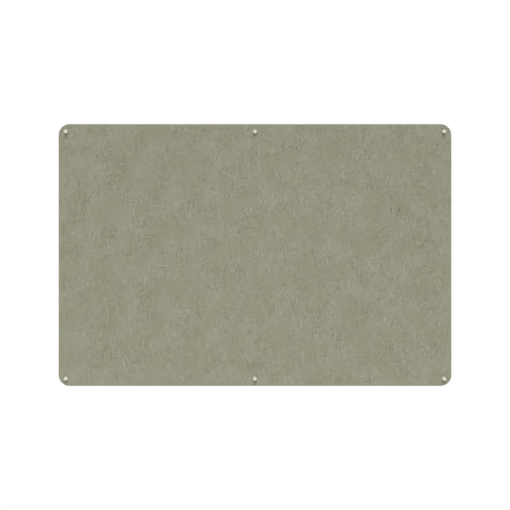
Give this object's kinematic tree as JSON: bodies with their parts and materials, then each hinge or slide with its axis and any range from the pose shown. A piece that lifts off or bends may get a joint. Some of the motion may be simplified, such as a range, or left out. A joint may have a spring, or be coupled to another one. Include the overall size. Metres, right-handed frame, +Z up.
{
  "type": "pinboard",
  "caption": "Frameless wall pinboard with rounded corners: a felt face on a cork core with a backing felt, held to the wall by pull-out wall pins.",
  "frame": {"origin": "centre of the board's back face, on the plane of the wall", "axes": "+X to the right along the board's length, +Y into the wall, so that the front faces -Y, +Z up"},
  "size_m": [0.9, 0.0344, 0.6],
  "materials": {
    "face_felt": "matte",
    "cork": "matte",
    "backing_felt": "matte",
    "ivory_plastic": "satin",
    "steel": "polished"
  },
  "bodies": {
    "board": {"face_felt": "face_felt", "cork_core": "cork", "backing_felt": "backing_felt"},
    "pin_top_left": {"pin_head_top_left": "ivory_plastic", "pin_needle_top_left": "steel"},
    "pin_top_middle": {"pin_head_top_middle": "ivory_plastic", "pin_needle_top_middle": "steel"},
    "pin_top_right": {"pin_head_top_right": "ivory_plastic", "pin_needle_top_right": "steel"},
    "pin_bottom_left": {"pin_head_bottom_left": "ivory_plastic", "pin_needle_bottom_left": "steel"},
    "pin_bottom_middle": {"pin_head_bottom_middle": "ivory_plastic", "pin_needle_bottom_middle": "steel"},
    "pin_bottom_right": {"pin_head_bottom_right": "ivory_plastic", "pin_needle_bottom_right": "steel"}
  },
  "joints": [
    {"name": "pull_top_left", "type": "slide", "parent": "board", "child": "pin_top_left", "axis": [0, -1, 0], "range_m": [0, 0.025]},
    {"name": "pull_top_middle", "type": "slide", "parent": "board", "child": "pin_top_middle", "axis": [0, -1, 0], "range_m": [0, 0.025]},
    {"name": "pull_top_right", "type": "slide", "parent": "board", "child": "pin_top_right", "axis": [0, -1, 0], "range_m": [0, 0.025]},
    {"name": "pull_bottom_left", "type": "slide", "parent": "board", "child": "pin_bottom_left", "axis": [0, -1, 0], "range_m": [0, 0.025]},
    {"name": "pull_bottom_middle", "type": "slide", "parent": "board", "child": "pin_bottom_middle", "axis": [0, -1, 0], "range_m": [0, 0.025]},
    {"name": "pull_bottom_right", "type": "slide", "parent": "board", "child": "pin_bottom_right", "axis": [0, -1, 0], "range_m": [0, 0.025]}
  ]
}
